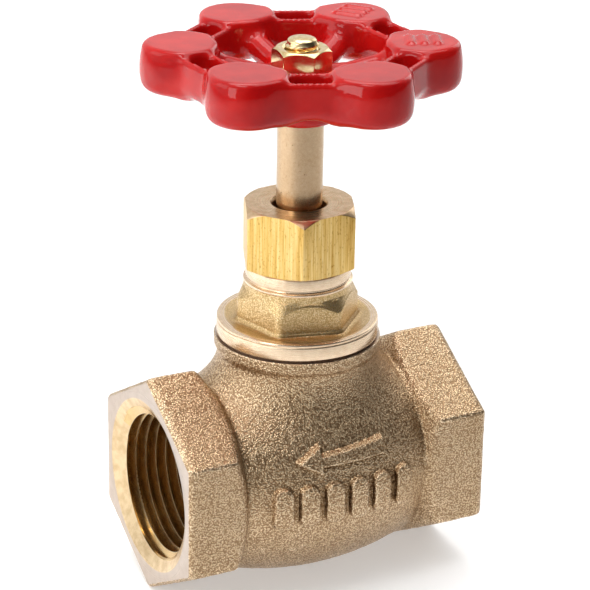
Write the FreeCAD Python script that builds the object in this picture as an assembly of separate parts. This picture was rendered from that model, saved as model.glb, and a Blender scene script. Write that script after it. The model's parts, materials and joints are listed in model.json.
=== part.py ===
"""Compact 3/4 inch bronze globe valve with a screw-in bonnet and a six-lobed handwheel.

Frame: millimetres. X runs along the pipe, from the outlet at -X to the inlet at +X. Z runs up the stem.
The origin lies on the stem's axis, level with the lowest point of the two end hexagons.
Heights below are measured from the pipe's axis, and the finished solids are lifted by PIPE_HEIGHT.
The valve is drawn fully open: the stem and the disc are at the top of their travel.
"""
import FreeCAD, Part
import math
import os

# ---------------------------------------------------------------- driving dimensions (mm)
# end hexagons and ports, 3/4 inch pipe
HALF_LENGTH = 27.35
END_HEX_AF = 33.3
END_HEX_EDGE_ROUND = 0.9
END_HEX_CORNER_LENGTH = 8.7
END_HEX_FLAT_LENGTH = 10.3
PORT_BORE_R = 11.8
PORT_BORE_DEPTH = 14.0
PORT_MOUTH_R = 14.65
PORT_MOUTH_DEPTH = 1.6

# globe body
BARREL_MID_R = 18.5
BARREL_END_R = 14.9
BARREL_HALF_LENGTH = 19.2
CAVITY_MID_R = 15.3
NECK_R = 12.9
COLLAR_R = 13.8
COLLAR_BOTTOM = 20.3
COLLAR_TOP = 22.7
COLLAR_LIP = 0.6
NECK_FLARE_R = 15.6
NECK_FLARE_BOTTOM = 13.8
NECK_FLARE_TOP = 18.6
BONNET_BORE_R = 10.5

# bridge wall and seat
BRIDGE_BOTTOM = -1.2
BRIDGE_TOP = 1.5
BRIDGE_WALL_INNER_X = 10.9
BRIDGE_WALL_OUTER_X = 13.35
SEAT_TOP = 2.3
SEAT_LAND_R = 8.8
SEAT_BORE_R = 7.4

# flow arrow on the near side, pointing to the outlet; its shaft widens and rises towards the tail
ARROW_TIP_X = -8.5
ARROW_HEAD_BACK_X = -4.0
ARROW_TAIL_X = 7.8
ARROW_Z = 7.3
ARROW_HEAD_WIDTH = 5.3
ARROW_NECK_WIDTH = 2.1
ARROW_TAIL_WIDTH = 2.9
ARROW_TAIL_RISE = 0.45
RELIEF_HEIGHT = 0.6

# bonnet
GASKET_R = 13.1
GASKET_INNER_R = 10.7
FLANGE_R = 13.3
FLANGE_BOTTOM = 23.1
FLANGE_TOP = 26.0
FLANGE_CHAMFER = 0.3
SPIGOT_R = 10.45
SPIGOT_BOTTOM = 15.5
BONNET_RECESS_R = 9.3
BONNET_RECESS_TOP = 18.6
BONNET_HEX_AF = 18.1
BONNET_HEX_TOP = 31.2
BONNET_HEX_CORNER_TOP = 29.9
BONNET_HEX_TURN = -75.0
NECK_COLLAR_R = 9.0
NECK_COLLAR_TOP = 31.9
NECK_POLISHED_R = 8.7
NECK_POLISHED_TOP = 35.2
PACKING_THREAD_R = 7.7
BONNET_TOP = 41.5
STUFFING_BOX_R = 5.9
STUFFING_BOX_BOTTOM = 31.2
PACKING_WASHER_HEIGHT = 0.9
PACKING_RING_HEIGHT = 2.1
GLAND_FLANGE_LIFT = 0.2
GLAND_FLANGE_PLAY = 0.4

# packing nut
NUT_AF = 17.55
NUT_TURN = -112.7
NUT_BOTTOM = 35.7
NUT_TOP = 45.4
NUT_CEILING = 42.5
NUT_HOLE_R = 4.4
NUT_CHAMFER_R = 9.05
NUT_CHAMFER_DROP = 1.0

# stem and disc
STEM_SHAFT_R = 3.79
STEM_THREAD_R = 4.8
STEM_THREAD_BOTTOM = 18.2
STEM_THREAD_TOP = 30.2
STEM_THREAD_BORE_TOP = 30.5
STEM_BUTTON_R = 3.4
STEM_BUTTON_BOTTOM = 14.35
STEM_BUTTON_TOP = 16.1
STEM_NECK_R = 2.25
STEM_SHOULDER = 59.9
STEM_SQUARE_AF = 5.4
STEM_SQUARE_TOP = 67.9
STEM_SQUARE_RELIEF = 0.15
STEM_END_R = 2.7
STEM_END_TOP = 73.5
STEM_END_DOME = 0.55
RUNNING_CLEARANCE = 0.05
GAP_IN_GROUP = 0.05

DISC_BOTTOM = 9.9
DISC_TOP = 12.4
DISC_R = 8.4
DISC_STUD_R = 2.05
HOLDER_R = 9.1
HOLDER_SKIRT_BOTTOM = 10.9
HOLDER_PLATE_TOP = 13.6
HOLDER_BOSS_R = 5.6
HOLDER_BOSS_TOP = 17.9
HOLDER_STUD_BOTTOM = 6.6
SLOT_BOTTOM = 14.3
SLOT_STEP = 16.15
SLOT_SIDE_PLAY = 0.1
DISC_WASHER_R = 5.0
DISC_WASHER_BOTTOM = 9.3
DISC_NUT_AF = 7.0
DISC_NUT_BOTTOM = 7.0

# handwheel
LOBE_COUNT = 6
LOBE_CIRCLE_R = 19.35
LOBE_TURN = -23.1
LOBE_TOP = 72.8
LOBE_BOTTOM = 64.7
LOBE_TOP_R = 5.15
LOBE_BULGE_R = 6.5
LOBE_BOTTOM_R = 4.0
RIM_MIDDLE_R = 17.4
RIM_WIDTH = 6.6
RIM_TOP = 72.1
RIM_BOTTOM = 65.3
RIM_EDGE_ROUND = 1.6
RIM_CHANNEL_WIDTH = 4.4
RIM_CHANNEL_DEPTH = 3.6
RIM_CHANNEL_RUN_IN = 0.6
HUB_R = 6.3
HUB_TOP = 68.3
HUB_TOP_CHAMFER = 0.4
HUB_FOOT_CHAMFER = 0.8
SPOKE_R = 2.3
SPOKE_INNER_Z = 66.9
SPOKE_OUTER_Z = 68.6
SPOKE_INNER_R = 5.3
SPOKE_OUTER_R = 16.0

# wheel nut
WHEEL_NUT_AF = 8.5
WHEEL_NUT_TURN = -93.9
WHEEL_NUT_TOP = 71.8
WHEEL_NUT_CHAMFER = 0.65
WHEEL_NUT_CROWN_INSET = 0.2

# cutting shapes run this far past the metal, and lengths closer than this are the same
OVERCUT = 1.0
SAME_LENGTH = 0.01

# ---------------------------------------------------------------- worked out from those
CORNER_CUT = END_HEX_EDGE_ROUND * (1.0 / math.cos(math.radians(30)) - 1.0)
PIPE_HEIGHT = END_HEX_AF / math.sqrt(3) - CORNER_CUT

X_AXIS = FreeCAD.Vector(1, 0, 0)
Z_AXIS = FreeCAD.Vector(0, 0, 1)
CENTRE = FreeCAD.Vector(0, 0, 0)


# ---------------------------------------------------------------- building blocks
def revolved(points, axis=Z_AXIS):
    """Solid of revolution about Z or X, from (radius, height along the axis) points."""
    if axis is X_AXIS:
        corners = [FreeCAD.Vector(along, radius, 0) for radius, along in points]
    else:
        corners = [FreeCAD.Vector(radius, 0, along) for radius, along in points]
    corners.append(corners[0])
    return Part.Face(Part.makePolygon(corners)).revolve(CENTRE, axis, 360)


def disc_between(radius, bottom, top):
    """Plain round disc or rod on the stem's axis."""
    return Part.makeCylinder(radius, top - bottom, FreeCAD.Vector(0, 0, bottom))


def ring(inner_r, outer_r, bottom, top):
    """Flat ring on the stem's axis."""
    return disc_between(outer_r, bottom, top).cut(disc_between(inner_r, bottom - OVERCUT, top + OVERCUT))


def hexagon(across_flats, bottom, top, turn):
    """Hexagonal prism on the stem's axis, with one corner at the angle turn."""
    corner_r = across_flats / math.sqrt(3)
    corners = []
    for k in range(7):
        angle = math.radians(turn + 60 * k)
        corners.append(FreeCAD.Vector(corner_r * math.cos(angle), corner_r * math.sin(angle), bottom))
    return Part.Face(Part.makePolygon(corners)).extrude(FreeCAD.Vector(0, 0, top - bottom))


def box(low, high):
    """Box from its lowest corner to its highest."""
    size = [b - a for a, b in zip(low, high)]
    return Part.makeBox(size[0], size[1], size[2], FreeCAD.Vector(*low))


# ---------------------------------------------------------------- body
def end_hexagon(side):
    """Cast hexagon at one end; side is +1 for the inlet and -1 for the outlet."""
    corner_r = END_HEX_AF / math.sqrt(3)
    face_x = side * HALF_LENGTH
    corners = []
    for k in range(7):
        angle = math.radians(90 + 60 * k)
        corners.append(FreeCAD.Vector(face_x, corner_r * math.cos(angle), corner_r * math.sin(angle)))
    # turned cone that shortens the corners on the body's side
    slope = (END_HEX_FLAT_LENGTH - END_HEX_CORNER_LENGTH) / (corner_r - END_HEX_AF / 2)
    apex_length = END_HEX_CORNER_LENGTH + slope * corner_r
    length = (END_HEX_FLAT_LENGTH + apex_length) / 2
    prism = Part.Face(Part.makePolygon(corners)).extrude(FreeCAD.Vector(-side * length, 0, 0))
    long_edges = [edge for edge in prism.Edges if abs(edge.Length - length) < SAME_LENGTH]
    prism = prism.makeFillet(END_HEX_EDGE_ROUND, long_edges)
    cone_r = corner_r + OVERCUT
    start = END_HEX_CORNER_LENGTH - OVERCUT * slope
    along = [0, start, apex_length]
    radii = [cone_r, cone_r, 0]
    profile = [(0, face_x)]
    profile += [(r, side * (HALF_LENGTH - a)) for r, a in zip(radii, along)]
    return prism.common(revolved(profile, X_AXIS))


def barrel(mid_r, end_r, half_length):
    """Bulged solid of revolution about the pipe's axis."""
    low = FreeCAD.Vector(-half_length, end_r, 0)
    top = FreeCAD.Vector(0, mid_r, 0)
    high = FreeCAD.Vector(half_length, end_r, 0)
    arc = Part.Arc(low, top, high).toShape()
    foot_high = FreeCAD.Vector(half_length, 0, 0)
    foot_low = FreeCAD.Vector(-half_length, 0, 0)
    sides = Part.makePolygon([high, foot_high, foot_low, low])
    return Part.Face(Part.Wire([arc] + sides.Edges)).revolve(CENTRE, X_AXIS, 360)


def flow_arrow():
    """Raised arrow on the near side of the globe, following its bulge."""
    half_head = ARROW_HEAD_WIDTH / 2
    half_neck = ARROW_NECK_WIDTH / 2
    half_tail = ARROW_TAIL_WIDTH / 2
    outline = [(ARROW_TIP_X, 0), (ARROW_HEAD_BACK_X, half_head), (ARROW_HEAD_BACK_X, half_neck),
               (ARROW_TAIL_X, ARROW_TAIL_RISE + half_tail), (ARROW_TAIL_X, ARROW_TAIL_RISE - half_tail),
               (ARROW_HEAD_BACK_X, -half_neck), (ARROW_HEAD_BACK_X, -half_head), (ARROW_TIP_X, 0)]
    front = BARREL_MID_R + RELIEF_HEIGHT + OVERCUT
    corners = [FreeCAD.Vector(x, -front, ARROW_Z + z) for x, z in outline]
    plate = Part.Face(Part.makePolygon(corners)).extrude(FreeCAD.Vector(0, front / 2, 0))
    raised = RELIEF_HEIGHT
    return plate.common(barrel(BARREL_MID_R + raised, BARREL_END_R + raised, BARREL_HALF_LENGTH))


def port_cut(side):
    """Threaded port at its minor radius, with a countersunk mouth."""
    face_x = side * HALF_LENGTH
    mouth_x = side * (HALF_LENGTH - PORT_MOUTH_DEPTH)
    end_x = side * (HALF_LENGTH - PORT_BORE_DEPTH)
    past_x = side * (HALF_LENGTH + OVERCUT)
    return revolved([(0, end_x), (PORT_BORE_R, end_x), (PORT_BORE_R, mouth_x),
                     (PORT_MOUTH_R, face_x), (PORT_MOUTH_R, past_x), (0, past_x)], X_AXIS)


def globe_space():
    """Whole space inside the globe, before the bridge wall parts it."""
    return barrel(CAVITY_MID_R, PORT_BORE_R, HALF_LENGTH - PORT_BORE_DEPTH)


def bonnet_bore():
    return disc_between(BONNET_BORE_R, (SEAT_TOP + DISC_BOTTOM) / 2, COLLAR_TOP + OVERCUT)


def make_bridge():
    """Wall with the seat, which parts the inlet chamber from the outlet chamber."""
    reach = BARREL_MID_R
    plate = box((-BRIDGE_WALL_OUTER_X, -reach, BRIDGE_BOTTOM), (BRIDGE_WALL_OUTER_X, reach, BRIDGE_TOP))
    outlet_wall = box((-BRIDGE_WALL_OUTER_X, -reach, -reach), (-BRIDGE_WALL_INNER_X, reach, BRIDGE_TOP))
    inlet_wall = box((BRIDGE_WALL_INNER_X, -reach, BRIDGE_BOTTOM), (BRIDGE_WALL_OUTER_X, reach, reach))
    land = disc_between(SEAT_LAND_R, BRIDGE_BOTTOM, SEAT_TOP)
    bridge = plate.fuse([outlet_wall, inlet_wall, land])
    bridge = bridge.cut(disc_between(SEAT_BORE_R, BRIDGE_BOTTOM - OVERCUT, SEAT_TOP + OVERCUT))
    return bridge.common(globe_space()).cut(bonnet_bore()).removeSplitter()


def make_body():
    neck = revolved([(0, 0), (NECK_FLARE_R, 0), (NECK_FLARE_R, NECK_FLARE_BOTTOM),
                     (NECK_R, NECK_FLARE_TOP), (NECK_R, COLLAR_BOTTOM - COLLAR_LIP),
                     (COLLAR_R, COLLAR_BOTTOM), (COLLAR_R, COLLAR_TOP), (0, COLLAR_TOP)])
    outside = barrel(BARREL_MID_R, BARREL_END_R, BARREL_HALF_LENGTH)
    outside = outside.fuse([neck, end_hexagon(-1), end_hexagon(1), flow_arrow()])
    return outside.cut([globe_space(), bonnet_bore(), port_cut(-1), port_cut(1)]).removeSplitter()


# ---------------------------------------------------------------- bonnet and packing
def make_bonnet_gasket():
    return ring(GASKET_INNER_R, GASKET_R, COLLAR_TOP, FLANGE_BOTTOM)


def make_bonnet():
    flange = revolved([(0, SPIGOT_BOTTOM), (SPIGOT_R, SPIGOT_BOTTOM), (SPIGOT_R, FLANGE_BOTTOM),
                       (FLANGE_R, FLANGE_BOTTOM), (FLANGE_R, FLANGE_TOP - FLANGE_CHAMFER),
                       (FLANGE_R - FLANGE_CHAMFER, FLANGE_TOP), (0, FLANGE_TOP)])
    # hexagon whose top is turned to a shallow cone
    corner_r = BONNET_HEX_AF / math.sqrt(3)
    turned = revolved([(0, FLANGE_TOP), (corner_r, FLANGE_TOP), (corner_r, BONNET_HEX_CORNER_TOP),
                       (NECK_COLLAR_R, BONNET_HEX_TOP), (0, BONNET_HEX_TOP)])
    hexagonal = hexagon(BONNET_HEX_AF, FLANGE_TOP, BONNET_HEX_TOP, BONNET_HEX_TURN).common(turned)
    neck = revolved([(0, FLANGE_TOP), (NECK_COLLAR_R, FLANGE_TOP), (NECK_COLLAR_R, NECK_COLLAR_TOP),
                     (NECK_POLISHED_R, NECK_COLLAR_TOP), (NECK_POLISHED_R, NECK_POLISHED_TOP),
                     (PACKING_THREAD_R, NECK_POLISHED_TOP), (PACKING_THREAD_R, BONNET_TOP),
                     (0, BONNET_TOP)])
    thread_bore_r = STEM_THREAD_R + RUNNING_CLEARANCE
    shaft_bore_r = STEM_SHAFT_R + RUNNING_CLEARANCE
    hollow = disc_between(BONNET_RECESS_R, SPIGOT_BOTTOM - OVERCUT, BONNET_RECESS_TOP)
    hollow = hollow.fuse([disc_between(thread_bore_r, SPIGOT_BOTTOM, STEM_THREAD_BORE_TOP),
                          disc_between(shaft_bore_r, SPIGOT_BOTTOM, BONNET_TOP),
                          disc_between(STUFFING_BOX_R, STUFFING_BOX_BOTTOM, BONNET_TOP + OVERCUT)])
    return flange.fuse([hexagonal, neck]).cut(hollow).removeSplitter()


def packing_stack():
    """Washer, three packing rings and the flanged gland, from the bottom of the stuffing box up."""
    shaft_bore_r = STEM_SHAFT_R + RUNNING_CLEARANCE
    outer_r = STUFFING_BOX_R - GAP_IN_GROUP
    washer_top = STUFFING_BOX_BOTTOM + PACKING_WASHER_HEIGHT
    pieces = {"packing_washer": ring(shaft_bore_r, outer_r, STUFFING_BOX_BOTTOM, washer_top)}
    bottom = washer_top
    for name in ("lower", "middle", "upper"):
        top = bottom + PACKING_RING_HEIGHT
        pieces["packing_ring_" + name] = ring(shaft_bore_r, outer_r, bottom, top)
        bottom = top
    flange_bottom = BONNET_TOP + GLAND_FLANGE_LIFT
    flange_r = PACKING_THREAD_R - GLAND_FLANGE_PLAY
    pieces["packing_gland"] = revolved([(shaft_bore_r, bottom), (outer_r, bottom),
                                        (outer_r, flange_bottom), (flange_r, flange_bottom),
                                        (flange_r, NUT_CEILING), (shaft_bore_r, NUT_CEILING)])
    return pieces


def make_packing_nut():
    corner_r = NUT_AF / math.sqrt(3)
    turned = revolved([(0, NUT_BOTTOM), (NUT_CHAMFER_R, NUT_BOTTOM),
                       (corner_r, NUT_BOTTOM + NUT_CHAMFER_DROP), (corner_r, NUT_TOP - NUT_CHAMFER_DROP),
                       (NUT_CHAMFER_R, NUT_TOP), (0, NUT_TOP)])
    outside = hexagon(NUT_AF, NUT_BOTTOM, NUT_TOP, NUT_TURN).common(turned)
    thread = disc_between(PACKING_THREAD_R + GAP_IN_GROUP, NUT_BOTTOM - OVERCUT, NUT_CEILING)
    return outside.cut([thread, disc_between(NUT_HOLE_R, NUT_BOTTOM, NUT_TOP + OVERCUT)])


# ---------------------------------------------------------------- disc group
def make_disc_holder():
    """Cup for the seat disc, with a boss that is slotted from the near side for the stem's button."""
    outside = revolved([(0, HOLDER_STUD_BOTTOM), (DISC_STUD_R, HOLDER_STUD_BOTTOM),
                        (DISC_STUD_R, DISC_TOP), (DISC_R + GAP_IN_GROUP, DISC_TOP),
                        (DISC_R + GAP_IN_GROUP, HOLDER_SKIRT_BOTTOM), (HOLDER_R, HOLDER_SKIRT_BOTTOM),
                        (HOLDER_R, HOLDER_PLATE_TOP), (HOLDER_BOSS_R, HOLDER_PLATE_TOP),
                        (HOLDER_BOSS_R, HOLDER_BOSS_TOP), (0, HOLDER_BOSS_TOP)])
    slot = None
    for radius, bottom, top in ((STEM_BUTTON_R, SLOT_BOTTOM, SLOT_STEP),
                                (STEM_NECK_R, SLOT_STEP, HOLDER_BOSS_TOP + OVERCUT)):
        half = radius + SLOT_SIDE_PLAY
        way_in = box((-half, -HOLDER_R, bottom), (half, 0, top))
        step = disc_between(half, bottom, top).fuse(way_in)
        slot = step if slot is None else slot.fuse(step)
    return outside.cut(slot)


def make_seat_disc():
    return ring(DISC_STUD_R + GAP_IN_GROUP, DISC_R, DISC_BOTTOM, DISC_TOP)


def make_disc_washer():
    return ring(DISC_STUD_R + GAP_IN_GROUP, DISC_WASHER_R, DISC_WASHER_BOTTOM, DISC_BOTTOM)


def make_disc_nut():
    nut = hexagon(DISC_NUT_AF, DISC_NUT_BOTTOM, DISC_WASHER_BOTTOM, 0)
    hole_r = DISC_STUD_R + GAP_IN_GROUP
    return nut.cut(disc_between(hole_r, DISC_NUT_BOTTOM - OVERCUT, DISC_WASHER_BOTTOM + OVERCUT))


# ---------------------------------------------------------------- stem group
def square_bar(across_flats, bottom, top):
    """Square drive for the handwheel, turned with the wheel's first lobe."""
    half = across_flats / 2
    bar = box((-half, -half, bottom), (half, half, top))
    bar.rotate(CENTRE, Z_AXIS, LOBE_TURN)
    return bar


def make_stem():
    turned = revolved([(0, STEM_BUTTON_BOTTOM), (STEM_BUTTON_R, STEM_BUTTON_BOTTOM),
                       (STEM_BUTTON_R, STEM_BUTTON_TOP), (STEM_NECK_R, STEM_BUTTON_TOP),
                       (STEM_NECK_R, STEM_THREAD_BOTTOM), (STEM_THREAD_R, STEM_THREAD_BOTTOM),
                       (STEM_THREAD_R, STEM_THREAD_TOP), (STEM_SHAFT_R, STEM_THREAD_TOP),
                       (STEM_SHAFT_R, STEM_SHOULDER), (0, STEM_SHOULDER)])
    drive = square_bar(STEM_SQUARE_AF, STEM_SHOULDER, STEM_SQUARE_TOP)
    drive = drive.common(disc_between(STEM_SHAFT_R - STEM_SQUARE_RELIEF, STEM_SHOULDER, STEM_SQUARE_TOP))
    end = revolved([(0, STEM_SQUARE_TOP), (STEM_END_R, STEM_SQUARE_TOP),
                    (STEM_END_R, STEM_END_TOP - STEM_END_DOME),
                    (STEM_END_R - STEM_END_DOME, STEM_END_TOP), (0, STEM_END_TOP)])
    return turned.fuse([drive, end])


def lobe_centre(k, z):
    angle = math.radians(LOBE_TURN + 360.0 / LOBE_COUNT * k)
    return FreeCAD.Vector(LOBE_CIRCLE_R * math.cos(angle), LOBE_CIRCLE_R * math.sin(angle), z)


def make_lobe(k):
    """Round finger lobe: flat top, bulged side, narrower foot."""
    bulge_z = (LOBE_TOP + LOBE_BOTTOM) / 2
    top_edge = FreeCAD.Vector(LOBE_TOP_R, 0, LOBE_TOP)
    bulge = FreeCAD.Vector(LOBE_BULGE_R, 0, bulge_z)
    foot_edge = FreeCAD.Vector(LOBE_BOTTOM_R, 0, LOBE_BOTTOM)
    side = Part.Arc(top_edge, bulge, foot_edge).toShape()
    foot = FreeCAD.Vector(0, 0, LOBE_BOTTOM)
    top = FreeCAD.Vector(0, 0, LOBE_TOP)
    rest = Part.makePolygon([foot_edge, foot, top, top_edge])
    lobe = Part.Face(Part.Wire([side] + rest.Edges)).revolve(CENTRE, Z_AXIS, 360)
    lobe.translate(lobe_centre(k, 0))
    return lobe


def make_rim_bar(k):
    """Straight stretch of rim from lobe k to the next, with an open channel along its top."""
    half_step = 180.0 / LOBE_COUNT
    half_length = LOBE_CIRCLE_R * math.sin(math.radians(half_step))
    inner = RIM_MIDDLE_R - RIM_WIDTH / 2
    outer = RIM_MIDDLE_R + RIM_WIDTH / 2
    bar = box((inner, -half_length, RIM_BOTTOM), (outer, half_length, RIM_TOP))
    lower_edges = [edge for edge in bar.Edges
                   if abs(edge.Length - 2 * half_length) < SAME_LENGTH
                   and edge.BoundBox.ZMax < RIM_BOTTOM + SAME_LENGTH]
    bar = bar.makeFillet(RIM_EDGE_ROUND, lower_edges)
    half_channel = RIM_CHANNEL_WIDTH / 2
    channel_end = half_length - LOBE_TOP_R + RIM_CHANNEL_RUN_IN
    channel = box((RIM_MIDDLE_R - half_channel, -channel_end, RIM_TOP - RIM_CHANNEL_DEPTH),
                  (RIM_MIDDLE_R + half_channel, channel_end, RIM_TOP + OVERCUT))
    bar = bar.cut(channel)
    bar.rotate(CENTRE, Z_AXIS, LOBE_TURN + half_step * (2 * k + 1))
    return bar


def make_spoke(k):
    """Round spoke that rises a little from the hub to a lobe."""
    angle = math.radians(LOBE_TURN + 360.0 / LOBE_COUNT * k)
    outward = FreeCAD.Vector(math.cos(angle), math.sin(angle), 0)
    start = outward * SPOKE_INNER_R + FreeCAD.Vector(0, 0, SPOKE_INNER_Z)
    end = outward * SPOKE_OUTER_R + FreeCAD.Vector(0, 0, SPOKE_OUTER_Z)
    run = end.sub(start)
    return Part.makeCylinder(SPOKE_R, run.Length, start, run)


def make_handwheel():
    hub = revolved([(0, STEM_SHOULDER), (HUB_R - HUB_FOOT_CHAMFER, STEM_SHOULDER),
                    (HUB_R, STEM_SHOULDER + HUB_FOOT_CHAMFER), (HUB_R, HUB_TOP - HUB_TOP_CHAMFER),
                    (HUB_R - HUB_TOP_CHAMFER, HUB_TOP), (0, HUB_TOP)])
    pieces = []
    for k in range(LOBE_COUNT):
        pieces += [make_rim_bar(k), make_lobe(k), make_spoke(k)]
    square_hole = square_bar(STEM_SQUARE_AF + 2 * GAP_IN_GROUP, STEM_SHOULDER - OVERCUT, HUB_TOP + OVERCUT)
    return hub.fuse(pieces).cut(square_hole)


def make_wheel_nut():
    corner_r = WHEEL_NUT_AF / math.sqrt(3)
    turned = revolved([(0, HUB_TOP), (corner_r, HUB_TOP), (corner_r, WHEEL_NUT_TOP - WHEEL_NUT_CHAMFER),
                       (WHEEL_NUT_AF / 2 - WHEEL_NUT_CROWN_INSET, WHEEL_NUT_TOP), (0, WHEEL_NUT_TOP)])
    outside = hexagon(WHEEL_NUT_AF, HUB_TOP, WHEEL_NUT_TOP, WHEEL_NUT_TURN).common(turned)
    return outside.cut(disc_between(STEM_END_R + GAP_IN_GROUP, HUB_TOP - OVERCUT, WHEEL_NUT_TOP + OVERCUT))


# ---------------------------------------------------------------- write every piece
def main():
    pieces = {"body": make_body(), "bridge": make_bridge()}
    pieces["bonnet_gasket"] = make_bonnet_gasket()
    pieces["bonnet"] = make_bonnet()
    pieces.update(packing_stack())
    pieces["packing_nut"] = make_packing_nut()
    pieces["stem"] = make_stem()
    pieces["disc_holder"] = make_disc_holder()
    pieces["seat_disc"] = make_seat_disc()
    pieces["disc_washer"] = make_disc_washer()
    pieces["disc_nut"] = make_disc_nut()
    pieces["handwheel"] = make_handwheel()
    pieces["wheel_nut"] = make_wheel_nut()
    os.makedirs("parts", exist_ok=True)
    whole = FreeCAD.BoundBox()
    for name, shape in pieces.items():
        shape.translate(FreeCAD.Vector(0, 0, PIPE_HEIGHT))
        shape.exportStep("parts/" + name + ".step")
        whole.add(shape.BoundBox)
        print(name, "solids", len(shape.Solids), "valid", shape.isValid(), "volume", round(shape.Volume, 1))
    print("pipe height", round(PIPE_HEIGHT, 3), "box", whole)


main()
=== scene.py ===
"""Looks of a 3/4 inch bronze globe valve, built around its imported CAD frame.

Shapes are worked out in millimetres, with heights measured from the pipe's axis. They are lifted and
scaled to metres when they become meshes.
"""

import json
import math

import bmesh
import bpy
import numpy as np
from mathutils import Matrix, Vector


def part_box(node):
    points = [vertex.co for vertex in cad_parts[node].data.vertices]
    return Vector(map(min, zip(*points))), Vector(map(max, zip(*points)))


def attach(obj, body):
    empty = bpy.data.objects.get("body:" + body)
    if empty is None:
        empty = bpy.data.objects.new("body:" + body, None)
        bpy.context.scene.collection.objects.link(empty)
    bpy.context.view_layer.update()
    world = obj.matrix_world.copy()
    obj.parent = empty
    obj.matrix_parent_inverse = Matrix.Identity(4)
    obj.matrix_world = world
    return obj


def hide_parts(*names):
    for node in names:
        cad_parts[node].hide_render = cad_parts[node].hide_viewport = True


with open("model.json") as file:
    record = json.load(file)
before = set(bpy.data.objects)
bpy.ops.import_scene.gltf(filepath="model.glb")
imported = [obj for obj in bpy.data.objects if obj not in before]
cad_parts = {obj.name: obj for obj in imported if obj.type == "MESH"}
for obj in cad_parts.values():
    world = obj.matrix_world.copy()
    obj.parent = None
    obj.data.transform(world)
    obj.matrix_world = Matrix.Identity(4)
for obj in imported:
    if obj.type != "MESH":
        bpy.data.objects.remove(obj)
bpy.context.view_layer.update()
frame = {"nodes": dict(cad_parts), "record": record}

# -------- sizes read from the frame
MM = 0.001
INLET = next(mount for mount in frame["record"]["mounts"] if mount["name"] == "inlet_port")
PIPE_Z = INLET["pos_m"][2] / MM
PORT_MINOR_R = INLET["dims"]["r_mm"]
SLOTS = {part["node"]: part["material_slot"] for part in frame["record"]["subparts"]}


def corners(node):
    """Lowest and highest corner of a CAD node, in millimetres from the pipe's axis."""
    low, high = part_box(node)
    lift = Vector((0, 0, PIPE_Z))
    return low / MM - lift, high / MM - lift


HALF_LENGTH = corners("body")[1].x
COLLAR_TOP = corners("body")[1].z
FLANGE_BOTTOM = corners("bonnet_gasket")[1].z
SPIGOT_BOTTOM = corners("bonnet")[0].z
BONNET_TOP = corners("bonnet")[1].z
NUT_BOTTOM = corners("packing_nut")[0].z
NUT_TOP = corners("packing_nut")[1].z
STEM_BOTTOM = corners("stem")[0].z
STEM_TOP = corners("stem")[1].z
WHEEL_BOTTOM = corners("handwheel")[0].z
LOBE_TOP = corners("handwheel")[1].z
WHEEL_NUT_BOTTOM = corners("wheel_nut")[0].z
WHEEL_NUT_TOP = corners("wheel_nut")[1].z

# -------- body and ports (mm)
HEX_APOTHEM = 16.65
HEX_EDGE_ROUND = 0.35
HEX_CORNER_X = 18.65
HEX_BACK_SLOPE = 0.628
HEX_BACK_ROUND = 0.9
HEX_END_ROUND = 1.4
HEX_FILLET = 0.5
BARREL_R = 18.53
BARREL_BULGE = 0.0099
NECK_R = 13.0
NECK_FILLET = 5.0
COLLAR_R = 13.8
COLLAR_BOTTOM = 20.3
COLLAR_ROUND = 1.2
COLLAR_FILLET = 0.7
FACE_BEVEL = 0.15
GRAIN_HEIGHT = 0.018
RELIEF_HEIGHT = 1.0
RELIEF_DRAFT = 0.25
RELIEF_ROUND = 0.3
RELIEF_FILLET = 0.15
ARROW = ((-8.5, 7.3), (-4.0, 10.0), (-4.0, 8.2), (7.8, 9.2), (7.8, 6.3), (-4.0, 6.1), (-4.0, 4.7))
PAD_COUNT = 6
PAD_PITCH = 4.45
PAD_HALF_WIDTH = 1.75
PAD_HALF_HEIGHT = 3.7
PAD_ROUND = 1.6

THREAD_PITCH = 25.4 / 14
THREAD_DEPTH = 1.45
THREAD_TAPER = 1 / 32
THREAD_LENGTH = 14.0
THREAD_START = 0.28
THREAD_CREST = 0.10
THREAD_FLANK = 0.40
MOUTH_R = 14.65
MOUTH_SLOPE = 2.0
CAVITY_R = 15.3
CAVITY_END_R = 11.0
BRIDGE_Z = 0.15
BRIDGE_HALF = 1.35
BRIDGE_REACH = 13.0
END_WALL_X = 11.75
END_WALL_HALF = 1.25
SEAT_R = 8.8
SEAT_Z = 0.55
SEAT_HALF = 1.75
SEAT_BORE_R = 7.4
BONNET_BORE_R = 10.5
BONNET_BORE_BOTTOM = 6.1
BODY_ENDS = ((0, -HALF_LENGTH), (0, HALF_LENGTH), (2, COLLAR_TOP))
BODY_SKIN, BODY_FACE, BODY_THREAD, BODY_INSIDE = range(4)

# -------- bonnet, nut and stem (mm)
FLANGE_R = 13.4
FLANGE_TOP = 26.0
BONNET_HEX_APOTHEM = 9.05
BONNET_HEX_TURN = -75.0
BONNET_HEX_ROUND = 1.9
BONNET_HEX_TOP = 31.2
SPIGOT_R = 10.45
SPIGOT_BORE_R = 9.3
STUFFING_BOX_BOTTOM = 31.2
STEM_THREAD_TOP = 30.5
STEM_THREAD_BOTTOM = 18.6
BORE_GAP = 0.05
NECK_COLLAR_R = 9.0
POLISHED_R = 8.7
PACKING_THREAD_R = 7.7
STUFFING_BOX_R = 5.9
NUT_APOTHEM = 8.775
NUT_TURN = -112.7
NUT_HOLE_R = 4.4
NUT_SKIRT = 0.4
NUT_CROWN = 0.25
NUT_CHAMFER_R = 9.0
NUT_CEILING = 42.5
SHAFT_R = 3.79
BUTTON_R = 3.4
BUTTON_TOP = 16.1
BUTTON_NECK_R = 2.25
STEM_THREAD_R = 4.8
STEM_THREAD_PITCH = 2.5
STEM_END_R = 2.7
STEM_END_PITCH = 1.1
WHEEL_NUT_APOTHEM = 4.25
WHEEL_NUT_CHAMFER_R = 4.12
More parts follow.
